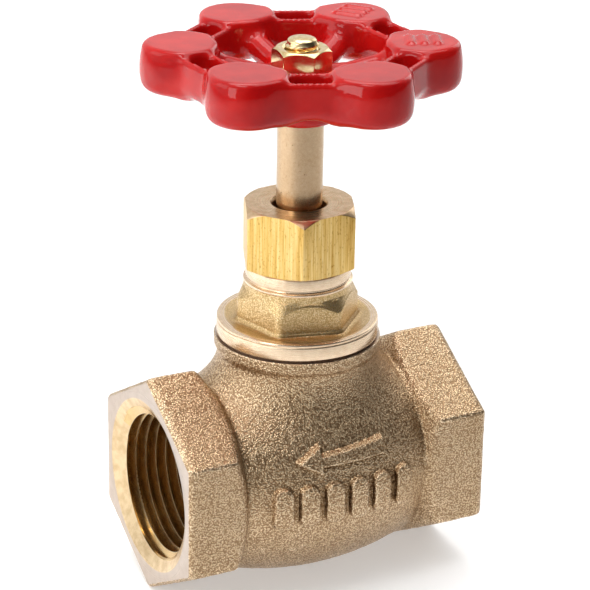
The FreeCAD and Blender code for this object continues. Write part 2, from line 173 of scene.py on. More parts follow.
WHEEL_NUT_TURN = -93.9

# -------- handwheel (mm)
LOBE_TURN = -23.1
LOBE_CIRCLE_R = 19.35
LOBE_SIDE_R = 14.0
LOBE_BULGE_R = 6.5
LOBE_BULGE_Z = 68.6
LOBE_BOTTOM = 64.3
RIM_MIDDLE_R = 17.4
RIM_HALF_WIDTH = 3.3
RIM_TOP = 72.1
RIM_BOTTOM = 65.3
CHANNEL_HALF_WIDTH = 2.05
CHANNEL_END_R = 6.5
PARTING_Z = 67.6
CHANNEL_BOTTOM = 69.0
HUB_R = 6.3
HUB_TOP = 68.3
SPOKE_R = 2.1
SPOKE_INNER_Z = 66.8
SPOKE_RISE = 0.28
SPOKE_END_R = 15.5
SQUARE_HALF = 2.7
DRAFT_ABOVE = 0.07
DRAFT_BELOW = 0.2
RIM_UNDER_SLOPE = 0.24
LOBE_UNDER_SLOPE = 0.22
MARK_PITCH = 2.1
MARK_HALF_LENGTH = 1.9
MARK_R = 0.62
MARK_HEIGHT = 0.42

# -------- all meshes
SHARP_ANGLE = math.radians(32)
WELD = 1e-4
FAR = 9.0  # a field's value well outside of its shape


# -------- materials
WHITE = (1.0, 1.0, 1.0)


def set_range(node, *limits):
    """Sets a Map Range node's limits: the low and high value it takes, then those it gives."""
    for socket, limit in zip(("From Min", "From Max", "To Min", "To Max"), limits):
        node.inputs[socket].default_value = limit


class Finish:
    """Node tree of one procedural material. Its coordinates are the object's own, in millimetres."""

    def __init__(self, name, metallic, roughness, **sockets):
        self.material = bpy.data.materials.new(name)
        self.material.use_nodes = True
        self.tree = self.material.node_tree
        self.shader = self.tree.nodes["Principled BSDF"]
        self.shader.inputs["Metallic"].default_value = metallic
        self.shader.inputs["Roughness"].default_value = roughness
        for socket, value in sockets.items():
            self.shader.inputs[socket.replace("_", " ")].default_value = value
        scale = self.add("ShaderNodeVectorMath", operation="SCALE")
        scale.inputs["Scale"].default_value = 1 / MM
        self.join(self.add("ShaderNodeTexCoord").outputs["Object"], scale.inputs[0])
        self.place = scale.outputs[0]

    def add(self, kind, **settings):
        node = self.tree.nodes.new(kind)
        for name, value in settings.items():
            setattr(node, name, value)
        return node

    def join(self, source, target):
        """Links a socket, or sets a plain value."""
        if isinstance(source, bpy.types.NodeSocket):
            self.tree.links.new(source, target)
        else:
            target.default_value = source

    def math(self, operation, a, b=0.0):
        node = self.add("ShaderNodeMath", operation=operation)
        self.join(a, node.inputs[0])
        self.join(b, node.inputs[1])
        return node.outputs[0]

    def stretched(self, x, y, z):
        """Coordinates scaled along each axis."""
        node = self.add("ShaderNodeVectorMath", operation="MULTIPLY")
        self.join(self.place, node.inputs[0])
        node.inputs[1].default_value = (x, y, z)
        return node.outputs[0]

    def noise(self, size, detail=2.0, roughness=0.5, place=None):
        """Noise from 0 to 1 whose grains are about size millimetres."""
        node = self.add("ShaderNodeTexNoise")
        self.join(place or self.place, node.inputs["Vector"])
        node.inputs["Scale"].default_value = 1 / size
        node.inputs["Detail"].default_value = detail
        node.inputs["Roughness"].default_value = roughness
        return node.outputs["Fac"]

    def grains(self, size):
        """Packed round grains about size millimetres across: 1 at their tops and 0 in the pits."""
        node = self.add("ShaderNodeTexVoronoi")
        self.join(self.place, node.inputs["Vector"])
        node.inputs["Scale"].default_value = 1 / size
        return self.spread(node.outputs["Distance"], 1.0, 0.0, 0.1, 0.75)

    def lines(self, along, size):
        """Noise that changes only with one measure, for turning and grinding marks."""
        node = self.add("ShaderNodeTexNoise", noise_dimensions="1D")
        self.join(along, node.inputs["W"])
        node.inputs["Scale"].default_value = 1 / size
        node.inputs["Detail"].default_value = 3.0
        return node.outputs["Fac"]

    def off_axis(self, axis):
        """Distance from the stem's axis (Z) or the pipe's axis (X)."""
        if axis == "Z":
            flat, lift = (1, 1, 0), (0, 0, 0)
        else:
            flat, lift = (0, 1, 1), (0, 0, -PIPE_Z)
        node = self.add("ShaderNodeVectorMath", operation="MULTIPLY_ADD")
        self.join(self.place, node.inputs[0])
        node.inputs[1].default_value = flat
        node.inputs[2].default_value = lift
        length = self.add("ShaderNodeVectorMath", operation="LENGTH")
        self.join(node.outputs[0], length.inputs[0])
        return length.outputs["Value"]

    def pointiness(self):
        """Above a half on convex edges, and below it in creases."""
        return self.add("ShaderNodeNewGeometry").outputs["Pointiness"]

    def openness(self, reach):
        """1 in the open, and lower where the piece's own surface rises within reach millimetres."""
        node = self.add("ShaderNodeAmbientOcclusion", samples=8, only_local=True)
        node.inputs["Distance"].default_value = reach * MM
        return node.outputs["AO"]

    def height(self):
        node = self.add("ShaderNodeSeparateXYZ")
        self.join(self.place, node.inputs[0])
        return node.outputs["Z"]

    def ramp(self, factor, stops):
        """Colour ramp from (position, colour) stops."""
        node = self.add("ShaderNodeValToRGB")
        elements = node.color_ramp.elements
        while len(elements) < len(stops):
            elements.new(0.5)
        for element, (position, color) in zip(elements, stops):
            element.position = position
            element.color = (*color, 1)
        self.join(factor, node.inputs[0])
        return node.outputs["Color"]

    def spread(self, factor, low, high, from_low=0.3, from_high=0.7):
        """Stretches a value onto another range."""
        node = self.add("ShaderNodeMapRange")
        self.join(factor, node.inputs["Value"])
        set_range(node, from_low, from_high, low, high)
        return node.outputs["Result"]

    def mix(self, factor, a, b, blend="MIX"):
        node = self.add("ShaderNodeMix", data_type="RGBA", blend_type=blend)
        self.join(factor, node.inputs[0])
        for color, socket in ((a, node.inputs[6]), (b, node.inputs[7])):
            self.join(color if isinstance(color, bpy.types.NodeSocket) else (*color, 1), socket)
        return node.outputs[2]

    def bump(self, height, depth, under=None):
        """Bump whose full height is depth millimetres."""
        node = self.add("ShaderNodeBump")
        node.inputs["Distance"].default_value = depth * MM
        self.join(height, node.inputs["Height"])
        if under is not None:
            self.join(under, node.inputs["Normal"])
        return node.outputs["Normal"]

    def done(self, color=None, roughness=None, normal=None):
        """Joins what varies over the surface to the shader and gives the material."""
        for source, socket in ((color, "Base Color"), (roughness, "Roughness"), (normal, "Normal")):
            if source is not None:
                self.join(source, self.shader.inputs[socket])
        return self.material


def sand_cast(name, dark, middle, light, depth, size=0.28):
    """Bronze with a sand-cast skin: brown in the pits, bright on the grain, with painted shade in the creases
    and convex edges lightened, partly as wear and partly as a painted highlight.
    """
    finish = Finish(name, 0.94, 0.36)
    grain = finish.math("ADD", finish.math("MULTIPLY", finish.grains(size), 0.5),
                        finish.math("MULTIPLY", finish.noise(size * 1.3, 2.0, 0.6), 0.5))
    patches = finish.noise(12.0, 2.0)
    color = finish.ramp(grain, ((0.35, dark), (0.52, middle), (0.67, light)))
    tint = finish.ramp(patches, ((0.35, (0.94, 0.92, 0.88)), (0.65, WHITE)))
    color = finish.mix(1.0, color, tint, "MULTIPLY")
    # Painted shade: the colour is darkened where the piece's own surface closes in, in creases and at the
    # foot of walls.
    painted_crease_shade = finish.ramp(finish.openness(1.6), ((0.40, (0.22, 0.17, 0.12)), (0.70, (0.72, 0.67, 0.60)),
                                                (0.92, WHITE)))
    color = finish.mix(1.0, color, painted_crease_shade, "MULTIPLY")
    # Convex edges lightened: partly wear, partly a painted highlight.
    wear_and_edge_highlight = finish.ramp(finish.pointiness(), ((0.51, WHITE), (0.55, (1.25, 1.32, 1.42))))
    color = finish.mix(1.0, color, wear_and_edge_highlight, "MULTIPLY")
    return finish.done(color, finish.spread(grain, 0.42, 0.24), finish.bump(grain, depth))


def cast_bronze():
    return sand_cast("cast_bronze", (0.33, 0.21, 0.115), (0.62, 0.45, 0.27), (0.87, 0.69, 0.475), 0.14)


def cast_inside():
    """Dull skin of the chambers."""
    return sand_cast("cast_inside", (0.10, 0.06, 0.03), (0.30, 0.20, 0.11), (0.50, 0.38, 0.24), 0.16)


def cast_neck():
    """Finer cast skin of the bonnet's hexagon and flange."""
    return sand_cast("cast_neck", (0.55, 0.375, 0.165), (0.75, 0.55, 0.285), (0.90, 0.72, 0.455), 0.05, 0.22)


def machined_face():
    """Faced port end in pale pink bronze, with a golden countersink and fine turned rings."""
    finish = Finish("machined_face", 1.0, 0.32)
    off_pipe = finish.off_axis("X")
    rings = finish.lines(off_pipe, 0.16)
    mottle = finish.noise(1.6, 3.0)
    pale = finish.ramp(mottle, ((0.35, (0.50, 0.41, 0.34)), (0.6, (0.54, 0.45, 0.38))))
    golden = finish.ramp(mottle, ((0.35, (0.60, 0.43, 0.24)), (0.6, (0.74, 0.57, 0.35))))
    countersunk = finish.spread(off_pipe, 1.0, 0.0, MOUTH_R - 0.1, MOUTH_R + 0.1)
    roughness = finish.spread(rings, 0.26, 0.38)
    return finish.done(finish.mix(countersunk, pale, golden), roughness, finish.bump(rings, 0.004))


def port_bronze():
    """Flanks of the cut pipe thread: deep gold with faint chatter."""
    finish = Finish("port_bronze", 1.0, 0.2)
    chatter = finish.noise(0.5, 3.0, place=finish.stretched(1.0, 0.35, 0.35))
    color = finish.ramp(chatter, ((0.3, (0.60, 0.41, 0.19)), (0.65, (0.70, 0.50, 0.24))))
    return finish.done(color, finish.spread(chatter, 0.20, 0.26), finish.bump(chatter, 0.002))


def turned(name, dull, bright, rough_low, rough_high, depth):
    """Turned metal about the stem's axis, with fine tool marks."""
    finish = Finish(name, 1.0, rough_low)
    measure = finish.math("ADD", finish.height(), finish.off_axis("Z"))
    rings = finish.lines(measure, 0.22)
    mottle = finish.noise(1.1, 3.0)
    color = finish.ramp(mottle, ((0.35, dull), (0.65, bright)))
    return finish.done(color, finish.spread(rings, rough_low, rough_high), finish.bump(rings, depth))


def turned_bronze():
    return turned("turned_bronze", (0.76, 0.57, 0.39), (0.84, 0.66, 0.47), 0.20, 0.30, 0.003)


def turned_brass():
    return turned("turned_brass", (0.60, 0.41, 0.22), (0.74, 0.54, 0.34), 0.22, 0.40, 0.006)


def drawn_brass():
    """Drawn hexagon bar: yellow brass with streaks along its length."""
    finish = Finish("drawn_brass", 1.0, 0.3)
    streaks = finish.noise(0.42, 4.0, 0.6, finish.stretched(1.0, 1.0, 0.035))
    specks = finish.noise(0.3, 2.0, 0.6, finish.stretched(1.0, 1.0, 0.5))
    color = finish.ramp(streaks, ((0.32, (0.56, 0.32, 0.07)), (0.48, (0.73, 0.48, 0.15)),
                                  (0.66, (0.84, 0.63, 0.28))))
    stain = finish.ramp(specks, ((0.28, (0.70, 0.60, 0.45)), (0.42, WHITE)))
    color = finish.mix(1.0, color, stain, "MULTIPLY")
    relief = finish.bump(streaks, 0.03)
    return finish.done(color, finish.spread(streaks, 0.42, 0.26), finish.bump(specks, 0.012, under=relief))


def polished_brass():
    finish = Finish("polished_brass", 1.0, 0.12)
    wear = finish.noise(0.8, 4.0)
    color = finish.ramp(wear, ((0.3, (0.72, 0.52, 0.24)), (0.7, (0.90, 0.74, 0.44))))
    return finish.done(color, finish.spread(wear, 0.26, 0.14), finish.bump(wear, 0.01))


def stem_bronze():
    """Ground shaft: satin, with faint rings and a few stained specks."""
    finish = Finish("stem_bronze", 1.0, 0.26)
    rings = finish.lines(finish.height(), 0.3)
    specks = finish.noise(0.5, 3.0, 0.7)
    stain = finish.noise(5.0, 2.0)
    color = finish.ramp(specks, ((0.25, (0.47, 0.32, 0.19)), (0.75, (0.57, 0.42, 0.27))))
    tint = finish.ramp(stain, ((0.3, (0.93, 0.90, 0.84)), (0.7, WHITE)))
    color = finish.mix(1.0, color, tint, "MULTIPLY")
    return finish.done(color, finish.spread(specks, 0.28, 0.22), finish.bump(rings, 0.004))


def red_enamel():
    """Thick dipped enamel: glossy, a little uneven, darker where it has pooled."""
    finish = Finish("red_enamel", 0.0, 0.3, Coat_Weight=1.0, Coat_Roughness=0.04, Coat_IOR=1.37)
    finish.shader.inputs["Specular IOR Level"].default_value = 0.0
    pooled = finish.noise(5.0, 3.0)
    color = finish.ramp(pooled, ((0.3, (0.40, 0.004, 0.005)), (0.7, (0.54, 0.009, 0.007))))
    peel = finish.noise(1.6, 2.0)
    normal = finish.bump(peel, 0.03)
    finish.join(normal, finish.shader.inputs["Coat Normal"])
    return finish.done(color, normal=normal)


def gasket_fibre():
    finish = Finish("gasket_fibre", 0.0, 0.85)
    fibres = finish.noise(0.3, 4.0, 0.7)
    color = finish.ramp(fibres, ((0.3, (0.08, 0.04, 0.02)), (0.7, (0.20, 0.11, 0.06))))
    return finish.done(color, normal=finish.bump(fibres, 0.05))


def packing():
    """Graphited braid."""
    finish = Finish("packing", 0.1, 0.6)
    strands = finish.noise(0.7, 1.0, place=finish.stretched(1.0, 1.0, 2.0))
    color = finish.ramp(strands, ((0.35, (0.02, 0.02, 0.02)), (0.65, (0.10, 0.10, 0.105))))
    return finish.done(color, normal=finish.bump(strands, 0.2))


def disc_polymer():
    finish = Finish("disc_polymer", 0.0, 0.4)
    cloud = finish.noise(2.0, 3.0)
    color = finish.ramp(cloud, ((0.3, (0.74, 0.72, 0.66)), (0.7, (0.84, 0.83, 0.79))))
    return finish.done(color, normal=finish.bump(cloud, 0.02))


def pale_floor():
    """Pale sheet with a soft glow round the valve, so that the shadow stays faint."""
    finish = Finish("pale_floor", 0.0, 0.7, Emission_Color=(*WHITE, 1.0))
    cloud = finish.noise(60.0, 2.0)
    glow = finish.spread(finish.off_axis("Z"), 0.38, 0.0, from_low=35.0, from_high=100.0)
    finish.join(glow, finish.shader.inputs["Emission Strength"])
    return finish.done(finish.ramp(cloud, ((0.3, (0.73, 0.73, 0.73)), (0.7, (0.75, 0.75, 0.75)))))


# -------- meshes
def placed(name, data):
    """Object with this data, linked into the scene."""
    thing = bpy.data.objects.new(name, data)
    bpy.context.scene.collection.objects.link(thing)
    return thing


def add_piece(name, bm, finishes, body, *nodes):
    """Turns a bmesh in millimetres into the piece that stands for CAD nodes and rides on a body."""
    lift = Matrix.Translation((0, 0, PIPE_Z * MM)) @ Matrix.Scale(MM, 4)
    bm.transform(lift)
    mesh = bpy.data.meshes.new(name)
    bm.to_mesh(mesh)
    bm.free()
    mesh.set_sharp_from_angle(angle=SHARP_ANGLE)
    for finish in finishes:
        mesh.materials.append(finish)
    piece = placed(name, mesh)
    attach(piece, body)
    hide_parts(*nodes)


def bmesh_of(vertices, faces):
    """Bmesh out of lists of vertices and faces."""
    mesh = bpy.data.meshes.new("part")
    mesh.from_pydata(vertices, [], faces)
    bm = bmesh.new()
    bm.from_mesh(mesh)
    bpy.data.meshes.remove(mesh)
    return bm


def sheet(vertices, faces, slot=0, cuts=()):
    """Smooth bmesh of one surface, trimmed by planes that are given as (point, outward normal)."""
    bm = bmesh_of(vertices.tolist(), faces.tolist())
    trim(bm, cuts)
    for face in bm.faces:
        face.material_index = slot
        face.smooth = True
    return bm


def trim(bm, cuts):
    """Cuts away what lies outside of planes."""
    for point, normal in cuts:
        everything = bm.verts[:] + bm.edges[:] + bm.faces[:]
        bmesh.ops.bisect_plane(bm, geom=everything, plane_co=point, plane_no=normal, clear_outer=True)


def joined(parts):
    """One bmesh out of several, which are used up."""
    whole = bmesh.new()
    for part in parts:
        mesh = bpy.data.meshes.new("part")
        part.to_mesh(mesh)
        part.free()
        whole.from_mesh(mesh)
        bpy.data.meshes.remove(mesh)
    return whole


def open_edges(bm, axis, value):
    """Open edges of a bmesh that lie in the plane where one coordinate has a value."""
    return [edge for edge in bm.edges
            if edge.is_boundary and all(abs(v.co[axis] - value) < 1e-3 for v in edge.verts)]


def close_plane(bm, axis, value, slot):
    """Flat faces between the open loops that lie in one plane."""
    normal = [0, 0, 0]
    normal[axis] = math.copysign(1, value)
    edges = open_edges(bm, axis, value)
    made = bmesh.ops.triangle_fill(bm, edges=edges, use_beauty=True, normal=normal)
    for item in made["geom"]:
        if isinstance(item, bmesh.types.BMFace):
            item.material_index = slot
            item.smooth = True


def bevelled_end(bm, axis, value, bevel, slot):
    """Grows an open loop to its final plane, a little further in, as a small bevel."""
    edges = open_edges(bm, axis, value - math.copysign(bevel, value))
    made = bmesh.ops.extrude_edge_only(bm, edges=edges)["geom"]
    for item in made:
        if isinstance(item, bmesh.types.BMVert):
            across = item.co.copy()
            across[axis] = 0
            item.co -= across.normalized() * bevel
            item.co[axis] = value
        elif isinstance(item, bmesh.types.BMFace):
            item.material_index = slot
            item.smooth = True


# -------- shapes as fields, negative inside
def smooth_min(a, b, blend):
    """Union of two fields with a fillet about as wide as blend."""
    overlap = np.maximum(blend - np.abs(a - b), 0) / blend
    return np.minimum(a, b) - overlap * overlap * blend / 4


def smooth_max(a, b, blend):
    """Common part of two fields with a rounded edge."""
    return -smooth_min(-a, -b, blend)


def smooth_step(value, start, end):
    """Runs smoothly from 0 at start to 1 at end."""
    share = np.clip((value - start) / (end - start), 0, 1)
    return share * share * (3 - 2 * share)


def hexagon_field(u, v, apothem, corner_round):
    """Distance to a rounded hexagon with flats across u and corners along v."""
    sine, cosine = 0.5, math.sqrt(0.75)
    inner = apothem - corner_round
    half_side = inner / math.sqrt(3)
    across, out = np.abs(v), np.abs(u)
    fold = 2 * np.minimum(sine * out - cosine * across, 0)
    across = across + cosine * fold
    out = out - sine * fold - inner
    across = across - np.clip(across, -half_side, half_side)
    return np.hypot(across, out) * np.sign(out) - corner_round


def rounded_box_field(u, v, half_u, half_v, corner_round):
    """Distance to a rounded rectangle."""
    out_u = np.abs(u) - half_u + corner_round
    out_v = np.abs(v) - half_v + corner_round
    outside = np.hypot(np.maximum(out_u, 0), np.maximum(out_v, 0))
    return outside + np.minimum(np.maximum(out_u, out_v), 0) - corner_round


def polygon_field(u, v, outline):
    """Distance to a flat polygon."""
    nearest = np.inf
    sign = 1.0
    for (au, av), (bu, bv) in zip(outline, outline[1:] + outline[:1]):
        eu, ev = bu - au, bv - av
        wu, wv = u - au, v - av
        share = np.clip((wu * eu + wv * ev) / (eu * eu + ev * ev), 0, 1)
        nearest = np.minimum(nearest, (wu - share * eu) ** 2 + (wv - share * ev) ** 2)
        crossing = ((v >= av) != (v >= bv)) & ((wu * ev - wv * eu) * np.sign(ev) < 0)
        sign = np.where(crossing, -sign, sign)
    return sign * np.sqrt(nearest)


def surface_net(field, low, high, step):
    """Quad mesh of the surface where a field is zero: one vertex in each grid cell that it crosses."""
    lines = [np.arange(a, b + step / 2, step) for a, b in zip(low, high)]
    values = field(*np.meshgrid(*lines, indexing="ij", sparse=True))
    cells = np.array(values.shape) - 1
    stride = np.array([cells[1] * cells[2], cells[2], 1])
    sums = np.zeros((cells.prod(), 3))
    hits = np.zeros(cells.prod())
    rings = []
    for axis in range(3):
        one, two = (axis + 1) % 3, (axis + 2) % 3
        lower = np.delete(values, -1, axis)
        upper = np.delete(values, 0, axis)
        at = np.argwhere((lower < 0) != (upper < 0))
        inner_one = (at[:, one] > 0) & (at[:, one] < cells[one])
        inner_two = (at[:, two] > 0) & (at[:, two] < cells[two])
        at = at[inner_one & inner_two]
        start, end = lower[tuple(at.T)], upper[tuple(at.T)]
        point = at.astype(float)
        point[:, axis] += start / (start - end)
        ring = []
        for back_one, back_two in ((1, 1), (0, 1), (0, 0), (1, 0)):
            cell = at.copy()
            cell[:, one] -= back_one
            cell[:, two] -= back_two
            ring.append(cell @ stride)
            for c in range(3):
                sums[:, c] += np.bincount(ring[-1], point[:, c], len(sums))
            hits += np.bincount(ring[-1], minlength=len(hits))
        ring = np.stack(ring, 1)
        ring[start > 0] = ring[start > 0][:, ::-1]
        rings.append(ring)
    used, faces = np.unique(np.concatenate(rings), return_inverse=True)
    vertices = sums[used] / hits[used, None] * step + np.array(low)
    return vertices, faces.reshape(-1, 4)


def slope_of(field, vertices, nudge=0.02):
    """Gradient of a field at each vertex."""
    parts = [field(*(vertices + d).T) - field(*(vertices - d).T) for d in np.eye(3) * nudge]
    return np.stack(parts, 1) / (2 * nudge)


def settle(vertices, field, rounds):
    """Moves vertices along the field's slope until they lie on its surface."""
    for _ in range(rounds):
        slope = slope_of(field, vertices)
        steepness = np.maximum((slope ** 2).sum(1), 0.3)
        move = np.clip(field(*vertices.T) / steepness, -0.4, 0.4)
        vertices = vertices - move[:, None] * slope
    return vertices


def relax(vertices, faces, strength=0.5):
    """Evens out a net by moving each vertex towards the mean of its neighbours."""
    sums = np.zeros_like(vertices)
    count = np.zeros(len(vertices))
    for k in range(4):
        for other in (1, 3):
            near = faces[:, (k + other) % 4]
            for c in range(3):
                sums[:, c] += np.bincount(faces[:, k], vertices[near, c], len(vertices))
            count += np.bincount(faces[:, k], minlength=len(vertices))
    return vertices + strength * (sums / count[:, None] - vertices)


def fitted_net(field, low, high, step):
    """Even quad mesh that lies on the surface of a field."""
    vertices, faces = surface_net(field, low, high, step)
    for _ in range(2):
        vertices = settle(relax(vertices, faces), field, 1)
    return settle(vertices, field, 2), faces


# -------- turned shapes
def even_angles(count):
    return np.arange(count) * (2 * math.pi / count)


def hexagon_angles(turn, per_side=28):
    """Angles round a hexagon with a corner at turn, closest together at the corners."""
    share = np.linspace(-1, 1, per_side, endpoint=False)
    offsets = 30 * (0.25 * share + 0.75 * share ** 3)
    return np.radians(np.concatenate([turn + 60 * k + offsets for k in range(6)]))


def hexagon_radius(angles, apothem, corner_round, turn):
    """Radius of a hexagon with rounded corners, at each angle."""
    off = np.abs((angles - math.radians(turn) + math.pi / 6) % (math.pi / 3) - math.pi / 6)
    centre = (apothem - corner_round) / math.cos(math.pi / 6)
    tangent = math.atan2(corner_round / 2, centre + corner_round * math.cos(math.pi / 6))
    arc = centre * np.cos(off) + np.sqrt(np.maximum(corner_round ** 2 - (centre * np.sin(off)) ** 2, 0))
    return np.where(off < tangent, arc, apothem / np.cos(math.pi / 6 - off))


def softened(rows, radius, steps=2):
    """Closed outline whose corners are rounded off, each by at most radius or half of its shorter side."""
    count = max(np.size(value) for row in rows for value in row)
    points = [np.stack([np.broadcast_to(value, count) for value in row]).astype(float) for row in rows]
    soft = []
    for k, point in enumerate(points):
        ends = []
        for other in (points[k - 1], points[(k + 1) % len(points)]):
            length = np.maximum(np.hypot(*(other - point)), 1e-6)
            ends.append(point + (other - point) * np.minimum(radius, length / 2) / length)
        for t in np.linspace(0, 1, steps + 1):
            soft.append((1 - t) ** 2 * ends[0] + 2 * t * (1 - t) * point + t ** 2 * ends[1])
    return soft


def lathe(rows, angles, hollow=True):
    """Bmesh turned about the stem's axis. Each row is (radius, height), as numbers or one per angle."""
    count = len(angles)
    rings = []
    for radius, height in rows:
        x = radius * np.cos(angles)
        rings.append(np.stack([x, radius * np.sin(angles), np.broadcast_to(height, count)], 1))
    here = np.arange(count)
    after = (here + 1) % count
    quads = []
    for k in range(len(rows) if hollow else len(rows) - 1):
        first, second = k * count, (k + 1) % len(rows) * count
        quads.append(np.stack([first + here, first + after, second + after, second + here], 1))
    faces = np.concatenate(quads).tolist()
    if not hollow:
        faces.append(here[::-1].tolist())
        faces.append(((len(rows) - 1) * count + here).tolist())
    bm = bmesh_of(np.concatenate(rings).tolist(), faces)
    bmesh.ops.remove_doubles(bm, verts=bm.verts[:], dist=WELD)
    bmesh.ops.dissolve_degenerate(bm, edges=bm.edges[:], dist=WELD / 10)
    bmesh.ops.recalc_face_normals(bm, faces=bm.faces[:])
    for face in bm.faces:
        face.smooth = True
    return bm


# -------- body
def cast_grain(points):
    """Unevenness of a sand-cast skin, as a sum of plane waves in seeded directions."""
    rng = np.random.default_rng(7)
    total = np.zeros(len(points))
    waves = 48
    for _ in range(waves):
        direction = rng.normal(size=3)
        direction /= np.linalg.norm(direction)
        length = rng.uniform(0.9, 2.4)
        phase = rng.uniform(0, 2 * math.pi)
        total += np.sin(points @ direction * (2 * math.pi / length) + phase)
    return total / math.sqrt(waves / 2)


def body_skin(x, y, z):
    """Outside of the casting: barrel, two end hexagons, neck, collar and reliefs."""
    off_pipe = np.hypot(y, z)
    along = np.abs(x)
    bulge = np.sqrt(1 + (2 * BARREL_BULGE * x) ** 2)
    barrel = (off_pipe - BARREL_R + BARREL_BULGE * x * x) / bulge
    hexagon = hexagon_field(y, z, HEX_APOTHEM, HEX_EDGE_ROUND)
    corner_r = HEX_APOTHEM / math.cos(math.pi / 6)
    back = HEX_CORNER_X - HEX_BACK_SLOPE * (corner_r - off_pipe) - along
    hexagon = smooth_max(hexagon, back / math.hypot(1, HEX_BACK_SLOPE), HEX_BACK_ROUND)
    hexagon = smooth_max(hexagon, along - HALF_LENGTH - FACE_BEVEL, HEX_END_ROUND)
    off_stem = np.hypot(x, y)
    neck = np.maximum(off_stem - NECK_R, -z)
    globe = smooth_min(barrel, neck, NECK_FILLET)
    collar = smooth_max(off_stem - COLLAR_R, COLLAR_BOTTOM - z, COLLAR_ROUND)
    globe = smooth_min(globe, collar, COLLAR_FILLET)
    skin = smooth_min(globe, hexagon, HEX_FILLET)
    return smooth_min(skin, body_reliefs(x, y, z, barrel), RELIEF_FILLET)


def body_reliefs(x, y, z, barrel):
    """Raised arrow and row of plain pads on the near side of the barrel."""
    outline = polygon_field(x, z, ARROW)
    for k in range(PAD_COUNT):
        centre = (k - (PAD_COUNT - 1) / 2) * PAD_PITCH
        pad = rounded_box_field(x - centre, z, PAD_HALF_WIDTH, PAD_HALF_HEIGHT, PAD_ROUND)
        outline = np.minimum(outline, pad)
    drafted = outline + RELIEF_DRAFT * np.maximum(barrel, 0)
    relief = smooth_max(drafted / math.hypot(1, RELIEF_DRAFT), barrel - RELIEF_HEIGHT, RELIEF_ROUND)
    return np.where(y < 0, relief, FAR)


def body_cavity(x, y, z):
    """Flow space inside the globe: two chambers, parted by the bridge wall, and the bonnet's bore."""
    off_pipe = np.hypot(y, z)
    end_x = HALF_LENGTH - THREAD_LENGTH
    radius = CAVITY_R - (CAVITY_R - CAVITY_END_R) * (x / end_x) ** 2
    space = off_pipe - radius
    plate = np.abs(z - BRIDGE_Z) - BRIDGE_HALF
    inlet_wall = np.maximum(np.abs(x - END_WALL_X) - END_WALL_HALF, BRIDGE_Z - BRIDGE_HALF - z)
    outlet_wall = np.maximum(np.abs(x + END_WALL_X) - END_WALL_HALF, z - BRIDGE_Z - BRIDGE_HALF)
    off_stem = np.hypot(x, y)
    land = np.maximum(off_stem - SEAT_R, np.abs(z - SEAT_Z) - SEAT_HALF)
    plate = np.maximum(plate, np.abs(x) - BRIDGE_REACH)
    bridge = smooth_min(np.minimum(plate, np.minimum(inlet_wall, outlet_wall)), land, blend=0.6)
    bridge = np.maximum(bridge, SEAT_BORE_R - off_stem)
    bore = np.maximum(off_stem - BONNET_BORE_R, BONNET_BORE_BOTTOM - z)
    return np.minimum(smooth_max(space, -bridge, blend=0.8), bore)


def thread_rows():
    """Phase along one pitch, and share of the thread's depth, for each row of the helix."""
    root = THREAD_CREST + THREAD_FLANK
    return ((0, 0.05), (0.02, 0), (THREAD_CREST - 0.02, 0), (THREAD_CREST, 0.05),
            (THREAD_CREST + THREAD_FLANK / 2, 0.5), (root - 0.02, 0.96), (root + 0.01, 1),
            (root + THREAD_CREST - 0.01, 1), (root + THREAD_CREST + 0.02, 0.96), (1 - THREAD_FLANK / 2, 0.5))


def port_thread(around=104):
    """Tapered pipe thread of the outlet port with its countersunk mouth, as a helix of rows."""
    shape = thread_rows()
    turns = math.ceil(THREAD_LENGTH / THREAD_PITCH) + 3
    share = np.arange(around + 1) / around
    phase = np.array([turn + row[0] for turn in range(-2, turns) for row in shape])
    cut = np.array([row[1] for turn in range(-2, turns) for row in shape])
    depth = THREAD_PITCH * (phase[:, None] + share[None, :] - THREAD_START)
    radius = PORT_MINOR_R + THREAD_DEPTH * cut[:, None] - THREAD_TAPER * depth
    radius = np.maximum(radius, MOUTH_R - MOUTH_SLOPE * depth)
    angle = 2 * math.pi * share
    points = np.stack([depth - HALF_LENGTH, radius * np.cos(angle), radius * np.sin(angle)], 2)
    row, col = np.meshgrid(np.arange(len(phase) - 1), np.arange(around), indexing="ij")
    corner = row * (around + 1) + col
    faces = np.stack([corner, corner + around + 1, corner + around + 2, corner + 1], 2)
    ends = (((-HALF_LENGTH, 0, 0), (-1, 0, 0)), ((-HALF_LENGTH + THREAD_LENGTH, 0, 0), (1, 0, 0)))
    bm = sheet(points.reshape(-1, 3), faces.reshape(-1, 4), BODY_THREAD)
    bmesh.ops.remove_doubles(bm, verts=bm.verts[:], dist=WELD)
    trim(bm, ends)
    for face in bm.faces:
        middle = face.calc_center_median()
        deep = middle.x + HALF_LENGTH
        off_pipe = math.hypot(middle.y, middle.z)
        above_cone = abs(off_pipe - MOUTH_R + MOUTH_SLOPE * deep)
        above_crest = off_pipe - PORT_MINOR_R + THREAD_TAPER * deep
        face.material_index = BODY_FACE if above_cone < 0.06 or above_crest < 0.08 else BODY_THREAD
    return bm


def refined(vertices, faces, field, near):
    """Splits the faces whose middle is near a detail into four, and fits the new corners to the field."""
    bm = sheet(vertices, faces)
    middles = np.array([face.calc_center_median() for face in bm.faces])
    chosen = near(*middles.T)
    bm.faces.ensure_lookup_table()
    edges = dict.fromkeys(edge for k in np.flatnonzero(chosen) for edge in bm.faces[k].edges)
    bmesh.ops.subdivide_edges(bm, edges=list(edges), cuts=1, use_grid_fill=True)
    bmesh.ops.triangulate(bm, faces=[face for face in bm.faces if len(face.verts) > 4])
    points = settle(np.array([vert.co for vert in bm.verts]), field, 3)
    for vert, point in zip(bm.verts, points):
        vert.co = point
    return bm


def near_reliefs(x, y, z):
    return (y < 0) & (np.abs(x) < 14.5) & (z > -5) & (z < 11)


